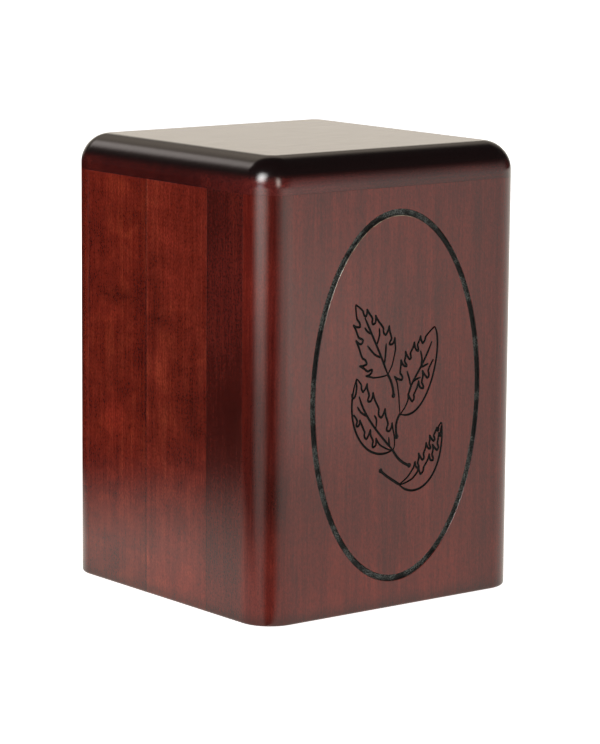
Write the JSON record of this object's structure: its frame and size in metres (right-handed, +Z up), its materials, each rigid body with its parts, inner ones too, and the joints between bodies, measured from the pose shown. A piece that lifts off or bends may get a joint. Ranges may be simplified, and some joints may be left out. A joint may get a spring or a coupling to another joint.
{
  "type": "cremation urn box",
  "caption": "Upright wooden urn box with a rounded top slab, an oval groove and carved drifting leaves on its front, and a screwed base panel.",
  "frame": {"origin": "middle of the footprint, on the surface the box stands on", "axes": "+Z up, -Y towards the viewer of the carved front, +X to that viewer's right"},
  "size_m": [0.165, 0.166, 0.229],
  "materials": {
    "top_wood": "cherry-red stain under semi-gloss lacquer",
    "front_wood": "cherry-red stain under semi-gloss lacquer, carved lines coloured black",
    "wall_wood": "cherry-red stain under semi-gloss lacquer",
    "base_wood": "thin stain, matt",
    "screw_steel": "zinc plated"
  },
  "bodies": {
    "root": {"top_panel": "top_wood", "front_panel": "front_wood", "back_panel": "wall_wood", "left_board_front": "wall_wood", "left_board_middle": "wall_wood", "left_board_back": "wall_wood", "right_board_front": "wall_wood", "right_board_middle": "wall_wood", "right_board_back": "wall_wood", "base_panel": "base_wood", "base_screw_1": "screw_steel", "base_screw_2": "screw_steel", "base_screw_3": "screw_steel", "base_screw_4": "screw_steel"}
  },
  "joints": []
}
